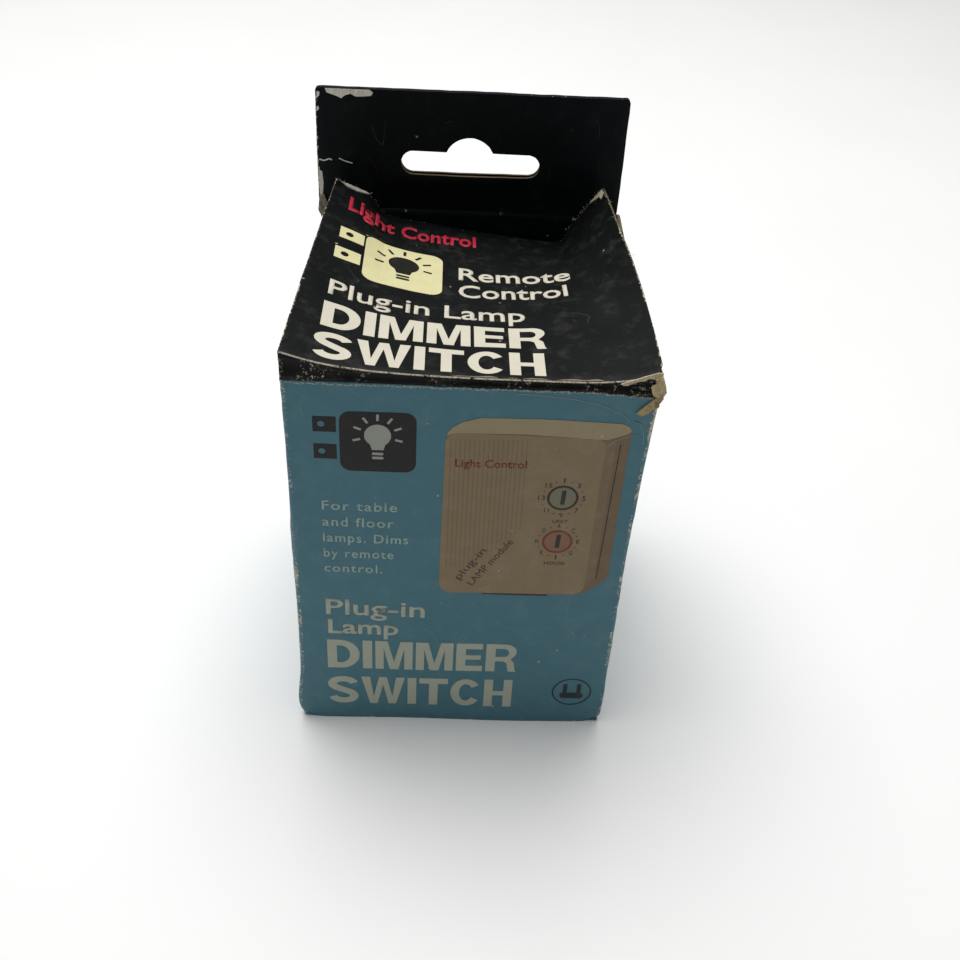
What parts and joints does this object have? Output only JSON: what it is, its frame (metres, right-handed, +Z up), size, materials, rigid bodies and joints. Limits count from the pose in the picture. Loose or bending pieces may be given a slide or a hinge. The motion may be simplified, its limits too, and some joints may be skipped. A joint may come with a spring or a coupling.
{
  "type": "boxed plug-in lamp dimmer",
  "caption": "Plug-in lamp dimmer module with rotary code dials and plug blades, packed in a worn folding carton with a hang tab and a tucked lid.",
  "frame": {"origin": "middle of the carton's base, at the surface it stands on", "axes": "+Z up, -Y out of the printed front panel, +X to the right seen from the front; all the height includes the hang tab"},
  "size_m": [0.07, 0.072, 0.124],
  "materials": {
    "printed_blue": "satin printed board",
    "printed_black": "satin printed board, worn",
    "plain_board": "matt uncoated board",
    "ivory_plastic": "moulded satin",
    "dark_plastic": "moulded matt",
    "dial_plastic": "moulded satin",
    "black_ring": "glossy",
    "red_ring": "glossy",
    "switch_plastic": "moulded matt",
    "brass": "rolled",
    "steel": "zinc plated",
    "laminate": "phenolic board",
    "aluminium": "extruded",
    "epoxy": "moulded",
    "film_capacitor": "dipped",
    "sleeve": "shrink sleeve",
    "iron_powder": "painted core",
    "enamelled_wire": "enamelled",
    "resistor_body": "lacquered",
    "wire_cover": "smooth"
  },
  "bodies": {
    "carton": {"front_panel": "printed_blue", "left_panel": "printed_blue", "right_panel": "printed_blue", "back_panel": "printed_blue", "glue_flap": "plain_board", "tab_glue_lap": "printed_black", "bottom_outer_flap": "printed_blue", "bottom_inner_flap": "plain_board", "bottom_left_flap": "plain_board", "bottom_right_flap": "plain_board", "hang_tab_rear_ply": "printed_black", "hang_tab_front_ply": "printed_black"},
    "lid": {"lid_panel": "printed_black"},
    "tuck": {"tuck_flap": "printed_black"},
    "left_dust_flap": {"dust_flap_left": "plain_board"},
    "right_dust_flap": {"dust_flap_right": "plain_board"},
    "module": {"front_cover": "ivory_plastic", "rear_base": "ivory_plastic", "housing_screws": "steel", "line_blade": "brass", "neutral_blade": "brass", "line_contact": "brass", "neutral_contact": "brass", "outlet_block": "dark_plastic", "unit_switch_body": "switch_plastic", "house_switch_body": "switch_plastic", "unit_dial_ring": "black_ring", "house_dial_ring": "red_ring", "circuit_board": "laminate", "heat_sink": "aluminium", "triac": "epoxy", "mains_capacitor": "film_capacitor", "filter_capacitor": "sleeve", "signal_coil_can": "steel", "choke_core": "iron_powder", "choke_winding": "enamelled_wire", "resistors": "resistor_body", "diodes": "epoxy", "control_chip": "epoxy", "neutral_wire": "wire_cover", "line_wire": "wire_cover", "load_wire": "wire_cover"},
    "unit_code_dial": {"unit_dial": "dial_plastic", "unit_wiper": "brass"},
    "house_code_dial": {"house_dial": "dial_plastic", "house_wiper": "brass"}
  },
  "joints": [
    {"name": "module_lift", "type": "slide", "parent": "carton", "child": "module", "axis": [0, 0, 1], "range_m": [0, 0.0455]},
    {"name": "lid_open", "type": "hinge", "parent": "carton", "child": "lid", "pos_m": [0, -0.036, 0.096], "axis": [1, 0, 0], "range_deg": [0, 175]},
    {"name": "tuck_unfold", "type": "hinge", "parent": "lid", "child": "tuck", "pos_m": [0.00105, 0.0322, 0.09175], "axis": [0.9924, 0, -0.1231], "range_deg": [0, 62]},
    {"name": "left_dust_open", "type": "hinge", "parent": "carton", "child": "left_dust_flap", "pos_m": [-0.035, 0, 0.096], "axis": [0, -1, 0], "range_deg": [0, 115]},
    {"name": "right_dust_open", "type": "hinge", "parent": "carton", "child": "right_dust_flap", "pos_m": [0.035, 0, 0.096], "axis": [0, 1, 0], "range_deg": [0, 115]},
    {"name": "unit_code_turn", "type": "hinge", "parent": "module", "child": "unit_code_dial", "pos_m": [0.015, -0.0266, 0.04815], "axis": [0, -1, 0], "continuous": true},
    {"name": "house_code_turn", "type": "hinge", "parent": "module", "child": "house_code_dial", "pos_m": [0.015, -0.0266, 0.02845], "axis": [0, -1, 0], "continuous": true}
  ],
  "couplings": [
    {"joint": "lid_open", "follows": "module_lift", "rad_per_m": 67.12},
    {"joint": "tuck_unfold", "follows": "module_lift", "rad_per_m": 23.492},
    {"joint": "left_dust_open", "follows": "module_lift", "rad_per_m": 44.1},
    {"joint": "right_dust_open", "follows": "module_lift", "rad_per_m": 44.1}
  ]
}
